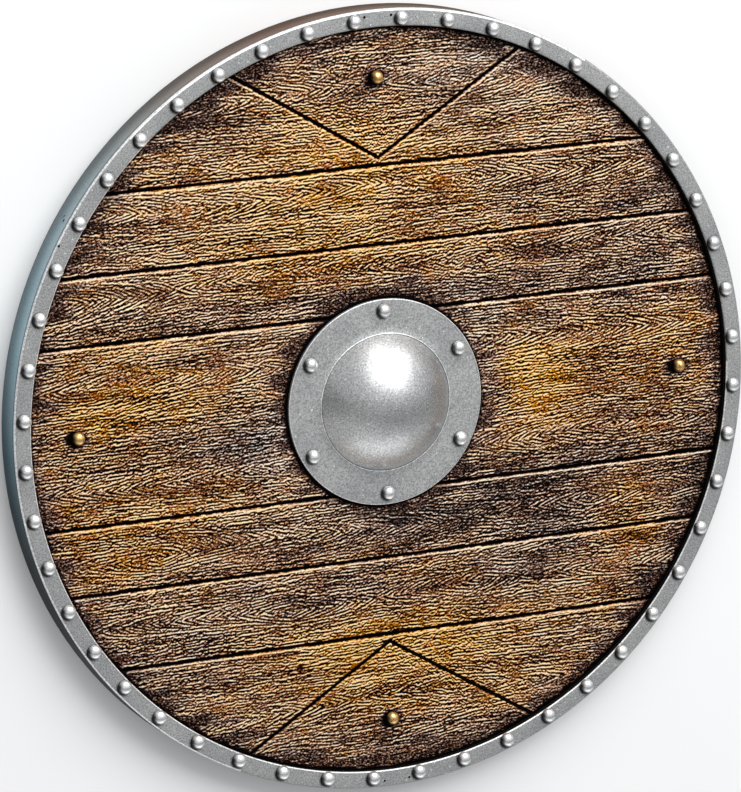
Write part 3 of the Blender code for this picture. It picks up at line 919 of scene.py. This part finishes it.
# Colour of the rim's outer wall, partly stain and partly painted reflection and shade that change round the
# rim: degrees clockwise from the top, sRGB codes
WALL_STAINS_AND_REFLECTIONS = [
    (0, (112, 94, 84)), (25, (104, 88, 80)), (60, (78, 74, 70)), (120, (66, 66, 66)), (190, (42, 44, 46)),
    (225, (32, 35, 38)), (252, (38, 44, 49)), (268, (82, 108, 118)), (285, (144, 170, 180)),
    (300, (150, 170, 178)), (312, (140, 150, 153)), (328, (124, 117, 111)), (345, (114, 93, 82)),
    (360, (112, 94, 84)),
]


def colour_rim_wall(mesh):
    """Writes the wall's colour at each vertex: stain with painted reflection and shade by angle, and painted
    shade towards its foot.
    """
    x, y, z = places_of(mesh).T
    angle = np.degrees(np.arctan2(x, y)) % 360
    stops = [wall_colour[0] for wall_colour in WALL_STAINS_AND_REFLECTIONS]
    wall_colour = np.ones((len(x), 4), np.float32)
    for channel in range(3):
        wall_colour[:, channel] = np.interp(angle, stops, [linear(codes[channel]) for _, codes in WALL_STAINS_AND_REFLECTIONS])
    # Painted shade: darker towards the foot
    wall_colour[:, :3] *= (0.75 + 0.80 * smoothstep(z, 5 * MM, 23 * MM))[:, None]
    layer = mesh.color_attributes.new("rim_stain_and_reflection", "FLOAT_COLOR", "POINT")
    layer.data.foreach_set("color", wall_colour.ravel())


# Small holes: degrees clockwise from the top, then in mm how far they are from the middle, how far below the
# rim's front (0 on the front, more on the wall), and their radius
HOLES = [
    (-2.1, 295, 0, 1.1), (2.1, 295, 0, 1.1), (177.9, 295, 0, 1.0), (181.9, 295, 0, 1.0),
    (299.6, 298.4, 0, 1.0), (303.2, 300, 10, 1.0), (303.8, 300, 13, 0.7),
]
HOLE_DEPTH = 1.6 * MM


def drill(obj):
    """Cuts the small holes into the rim."""
    bm = bmesh.new()
    for turn, radius, below, hole in HOLES:
        angle = radians(turn)
        place = Matrix.Translation((*clockwise(radius * MM, angle), RIM_DEPTH - below * MM))
        if below:
            place = place @ Matrix.Rotation(-angle, 4, "Z") @ Matrix.Rotation(radians(90), 4, "X")
            place = place @ Matrix.Rotation(pi, 4, "X")
        bmesh.ops.create_cone(
            bm, cap_ends=True, segments=20, radius1=hole * MM * 0.8, radius2=hole * MM * 1.1,
            depth=2 * HOLE_DEPTH, matrix=place,
        )
    drills = new_object("drills", bpy.data.meshes.new("drills"), [PIT_SHADE])
    bm.to_mesh(drills.data)
    bm.free()
    cut = obj.modifiers.new("holes", "BOOLEAN")
    cut.object = drills
    cut.operation = "DIFFERENCE"
    cut.solver = "EXACT"
    cut.material_mode = "TRANSFER"
    graph = bpy.context.evaluated_depsgraph_get()
    mesh = bpy.data.meshes.new_from_object(obj.evaluated_get(graph))
    obj.modifiers.remove(cut)
    obj.data = mesh
    bpy.data.objects.remove(drills)
    mesh.shade_smooth()
    mesh.set_sharp_from_angle(angle=radians(SHARP))


def polish_and_highlight(obj, slot, *bands):
    """Gives the edges of a turned piece another of its materials, pale: partly wear, partly a painted
    highlight where the light catches them.

    bands: lowest radius, highest radius, lowest z, first and last degree clockwise from the top.
    """
    for polygon in obj.data.polygons:
        x, y, z = polygon.center
        angle = degrees(atan2(x, y))
        for low, high, height, first, last in bands:
            if low < hypot(x, y) < high and z > height and 0.2 < polygon.normal.z < 0.985:
                if (angle - first) % 360 < last - first:
                    polygon.material_index = slot


def shade_heads(mesh, centres, radius, reach=0.45):
    """Writes painted shade on round heads: low on their left and lower left, away from the light."""
    places = places_of(mesh)
    away = np.stack([places[:, :2] - centre for centre in np.array(centres)])
    nearest = np.hypot(away[..., 0], away[..., 1]).argmin(axis=0)
    x, y = away[nearest, np.arange(len(places))].T / radius
    out = np.hypot(x, y)
    towards = (-0.90 * x - 0.43 * y) / np.maximum(out, 1e-6)
    write_values(mesh, "shaded_side", smoothstep(towards, 0.0, 0.75) * smoothstep(out, reach, 0.90))


def rim_profile(band_edge):
    """Section of the band and the hoop as one L, with a crease where they meet on the wall."""
    back_edge = 0.5 * MM
    groove = 0.5 * MM
    crease = RIM_DEPTH - BAND_SHOULDER
    return [
        (BAND_RADIUS, FACE_Z + GAP), (BAND_RADIUS, FACE_Z + GAP + 2.0 * MM),
        *arc((BAND_RADIUS + band_edge, RIM_DEPTH - band_edge), band_edge, 180, 90, 5),
        (BAND_RADIUS + 4 * MM, RIM_DEPTH), (BAND_RADIUS + 8 * MM, RIM_DEPTH),
        *arc((RIM_RADIUS - BAND_SHOULDER, crease), BAND_SHOULDER, 90, 0, 10),
        (RIM_RADIUS, crease - 0.3 * MM), (RIM_RADIUS - groove, crease - 0.6 * MM),
        (RIM_RADIUS - groove, crease - 0.9 * MM), (RIM_RADIUS, crease - 1.2 * MM),
        *((RIM_RADIUS, RIM_DEPTH * share) for share in (0.75, 0.6, 0.45, 0.3, 0.15)),
        *arc((RIM_RADIUS - back_edge, back_edge), back_edge, 0, -90, 4),
        (RIM_RADIUS - HOOP_THICKNESS, 0.0), (RIM_RADIUS - HOOP_THICKNESS, FACE_Z + GAP),
    ]


def build_rim():
    band_edge = 1.2 * MM
    mesh = mesh_of("rim_band", [turned(rim_profile(band_edge), 384, closed=True)])
    rim = new_object("rim_band", mesh, [RIM_SILVER, EDGE_HIGHLIGHT, PIT_SHADE, WALL_SILVER])
    drill(rim)
    colour_rim_wall(rim.data)
    # Painted highlight, with some wear, on the outer shoulder at the top and on the band's inner edge below
    polish_and_highlight(
        rim, 1, (RIM_RADIUS - BAND_SHOULDER, RIM_RADIUS, RIM_DEPTH - BAND_SHOULDER, 318, 395),
        (RIM_RADIUS - 0.6 * BAND_SHOULDER, RIM_RADIUS, RIM_DEPTH - 0.8 * BAND_SHOULDER, 205, 318),
        (BAND_RADIUS, BAND_RADIUS + band_edge, RIM_DEPTH - band_edge, 90, 320),
    )
    for polygon in rim.data.polygons:
        x, y, z = polygon.center
        radius = hypot(x, y)
        if radius < BAND_RADIUS + 0.3 * MM and polygon.normal.z < 0.4 and z > FACE_Z:
            # Painted shade: the band's inner face is made near black
            polygon.material_index = 2
        elif polygon.material_index == 0 and radius > RIM_RADIUS - 1.0 * MM and z < RIM_DEPTH - 2.1 * MM:
            polygon.material_index = 3
    stand_for(rim, "rim", "steel_rim")
    foot = 0.4 * MM
    profile = head_profile(RIVET_RADIUS, RIVET_HEIGHT, RIM_DEPTH)
    profile += [(RIVET_RADIUS * 0.98, RIM_DEPTH - foot), (0.0, RIM_DEPTH - foot)]
    angles = [(index + 0.5) * tau / RIVET_COUNT for index in range(RIVET_COUNT)]
    centres = [clockwise(RIVET_CIRCLE, angle) for angle in angles]
    heads = [turned(profile, 24, centre, phase=angle) for centre, angle in zip(centres, angles)]
    rivets = new_object("rim_rivet_heads", mesh_of("rim_rivet_heads", heads), [RIVET_SILVER])
    shade_heads(rivets.data, centres, RIVET_RADIUS)
    stand_for(rivets, "rivets", "steel_rim")


def build_boss():
    under_z = BOSS_LOW.z
    rise = DOME_Z - FLANGE_Z
    ball = (DOME_RADIUS ** 2 + rise ** 2) / (2 * rise)
    ball_z = DOME_Z - ball
    inner = ball - DOME_SHEET
    edge = 0.8 * MM
    foot = degrees(atan2(FLANGE_Z - ball_z, DOME_RADIUS))
    inner_foot = degrees(asin(min(1.0, (under_z + 1.5 * MM - ball_z) / inner)))
    profile = [
        (0.0, DOME_Z),
        *arc((0.0, ball_z), ball, 88, foot + 1.2, 40),
        # A thin bead around the dome's foot
        (DOME_RADIUS + 0.1 * MM, FLANGE_Z), (DOME_RADIUS + 0.4 * MM, FLANGE_Z + 0.22 * MM),
        (DOME_RADIUS + 0.8 * MM, FLANGE_Z + 0.12 * MM), (DOME_RADIUS + 1.0 * MM, FLANGE_Z),
        *((DOME_RADIUS + (FLANGE_RADIUS - DOME_RADIUS) * share, FLANGE_Z) for share in (0.25, 0.5, 0.75)),
        *arc((FLANGE_RADIUS - edge, FLANGE_Z - edge), edge, 90, 0, 5),
        (FLANGE_RADIUS, under_z), (DOME_RADIUS - DOME_SHEET, under_z),
        *arc((0.0, ball_z), inner, inner_foot, 88, 24),
        (0.0, DOME_Z - DOME_SHEET),
    ]
    mesh = mesh_of("boss_shell", [turned(profile, 144)])
    boss = new_object("boss_shell", mesh, [FLANGE_SILVER, DOME_SILVER, EDGE_HIGHLIGHT])
    for polygon in boss.data.polygons:
        polygon.material_index = int(polygon.center.z > FLANGE_Z + 0.4 * MM)
    # Painted highlight, with some wear, on the flange's edge and the bead at the dome's foot
    polish_and_highlight(
        boss, 2, (FLANGE_RADIUS - edge, FLANGE_RADIUS, FLANGE_Z - edge, 0, 360),
        (DOME_RADIUS + 0.3 * MM, DOME_RADIUS + 1.1 * MM, FLANGE_Z, 0, 360),
    )
    stand_for(boss, "boss", "boss")


def build_fastener(node, head_height, material, slot, shade_reach):
    """Round head, shank and flat tail of one rivet or stud, in its CAD node's box."""
    low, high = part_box(node)
    centre = centre_of(node)
    radius = (high.x - low.x) / 2
    base = high.z - head_height
    shank = 1.6 * MM
    tail_height = 1.0 * MM
    tail_radius = 3.0 * MM
    rounding = 0.3 * MM
    turn = tail_radius - rounding
    profile = head_profile(radius, head_height, base, 14)
    profile += [(radius * 0.97, base), (shank, base), (shank, low.z + tail_height)]
    profile += arc((turn, low.z + tail_height - rounding), rounding, 90, 0, 3)
    profile += arc((turn, low.z + rounding), rounding, 0, -90, 3)
    profile += [(0.0, low.z)]
    mesh = mesh_of(node + "_turned", [turned(profile, 48, (centre.x, centre.y))])
    shade_heads(mesh, [(centre.x, centre.y)], radius, shade_reach)
    stand_for(new_object(node + "_turned", mesh, [material]), slot, node)


def build_grip():
    """Flat bar along Y with a rounded handle that rises into the hand hole."""
    low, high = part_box("hand_grip")
    half_length = high.y
    bar_top = BACK_Z - GAP
    stations = np.unique(np.hstack([
        np.linspace(-half_length, half_length, 121),
        np.linspace(-90 * MM, 90 * MM, 121),
        [-half_length + 1 * MM, half_length - 1 * MM],
    ]))
    loops = []
    vertices = []
    for y in stations:
        away = abs(y)
        handle = 1 - smoothstep(away, 33 * MM, 46 * MM)
        waist = smoothstep(away, 45 * MM, 85 * MM)
        width = 13.5 * MM + 4.5 * MM * waist
        width -= 7.0 * MM * smoothstep(away, half_length - 8 * MM, half_length)
        top = bar_top + (high.z - bar_top) * handle
        rounding = 1.5 * MM + 4.0 * MM * handle
        reach = rounding - 0.5 * MM * smoothstep(away, half_length - 1 * MM, half_length)
        outline = []
        for corner_x, corner_z, start in ((1, 1, 0), (-1, 1, 90), (-1, 0, 180), (1, 0, 270)):
            centre_x = corner_x * (width - rounding)
            centre_z = top - rounding if corner_z else low.z + rounding
            for step in range(7):
                angle = radians(start + 15 * step)
                outline.append((centre_x + reach * cos(angle), y, centre_z + reach * sin(angle)))
        loops.append(range(len(vertices), len(vertices) + len(outline)))
        vertices.extend(outline)
    faces = []
    for first, second in zip(loops, loops[1:]):
        for index in range(len(first)):
            after = (index + 1) % len(first)
            faces.append((first[index], first[after], second[after], second[index]))
    faces += [tuple(loops[0]), tuple(loops[-1])]
    mesh = mesh_of("grip_bar", [(vertices, faces)], sharp_angle=50)
    stand_for(new_object("grip_bar", mesh, [GRIP_WOOD]), "grip", "hand_grip")


build_rim()
build_boss()
for number in range(1, 7):
    build_fastener(f"boss_rivet_{number}", 4.7 * MM, RIVET_SILVER, "rivets", 0.45)
for side in SIDES:
    build_fastener("stud_" + side, 4.6 * MM, BRASS, "studs", 0.30)
build_grip()


# ---- floor, light and camera

def build_floor():
    mesh = bpy.data.meshes.new("floor")
    bm = bmesh.new()
    bmesh.ops.create_circle(bm, cap_ends=True, segments=96, radius=18.0)
    bm.to_mesh(mesh)
    bm.free()
    floor = new_object("floor", mesh, [make_floor()])
    floor.visible_glossy = False


def put(name, data, place, turn):
    obj = bpy.data.objects.new(name, data)
    bpy.context.scene.collection.objects.link(obj)
    obj.location = place
    obj.rotation_mode = "QUATERNION"
    obj.rotation_quaternion = turn
    return obj


def add_softbox(name, direction, distance, size, power):
    """An area light that faces the middle of the shield."""
    light = bpy.data.lights.new(name, "AREA")
    light.shape = "RECTANGLE"
    light.size, light.size_y = size
    light.energy = power
    towards = Vector(direction).normalized()
    put(name, light, towards * distance, (-towards).to_track_quat("-Z", "Y"))


def along(tree, direction, axis):
    """How far a direction of the sky points along an axis."""
    return add_node(tree, "VectorMath", "Value", direction, axis, operation="DOT_PRODUCT")


def soft_range(tree, value, low, high, to_low=0.0, to_high=1.0):
    """to_low where the value is low, rising smoothly to to_high where it is high."""
    return add_node(
        tree, "MapRange", "Result", Value=value, interpolation_type="SMOOTHSTEP",
        From_Min=low, From_Max=high, To_Min=to_low, To_Max=to_high,
    )


def light_world():
    """A soft studio: even walls, dark in a strip from side to side overhead, and dark under the floor."""
    world = bpy.data.worlds.new("studio")
    bpy.context.scene.world = world
    world.use_nodes = True
    tree = world.node_tree
    background = tree.nodes["Background"]
    direction = add_node(tree, "TexCoord", "Generated")
    from_strip = compute(tree, "ABSOLUTE", along(tree, direction, (0.10, 0.925, 0.370)))
    light = soft_range(tree, from_strip, 0.10, 0.36, 0.18, 0.64)
    low, high = (cos(radians(angle)) for angle in (96, 78))
    under_floor = soft_range(tree, along(tree, direction, (0.0, 0.0, -1.0)), low, high)
    light = compute(tree, "MULTIPLY_ADD", under_floor, -0.22, light)
    light = compute(tree, "MAXIMUM", light, 0.05)
    light = compute(tree, "MAXIMUM", light, add_node(tree, "LightPath", "Is Camera Ray"))
    background.inputs["Color"].default_value = (0.97, 0.985, 1.0, 1.0)
    tree.links.new(light, background.inputs["Strength"])


# Directions of the camera's right, top and back
VIEW = Matrix(((0.91384, -0.02451, 0.40534), (0.11170, 0.97484, -0.19288), (-0.39041, 0.22154, 0.89359)))
CAMERA_PLACE = (-1.8511, 1.0495, 4.2322)
LENS = 284.34


def add_camera():
    data = bpy.data.cameras.new("camera")
    data.lens = LENS
    data.sensor_width = 36.0
    turn = VIEW.transposed().to_quaternion()
    bpy.context.scene.camera = put("camera", data, CAMERA_PLACE, turn)


build_floor()
light_world()
add_softbox("key", (0.27, 0.69, 0.67), 2.6, (2.3, 2.5), 70.0)
add_softbox("fill", (0.05, -0.93, 0.36), 3.0, (3.4, 1.2), 13.0)
add_camera()
bpy.context.scene.view_settings.view_transform = "Standard"
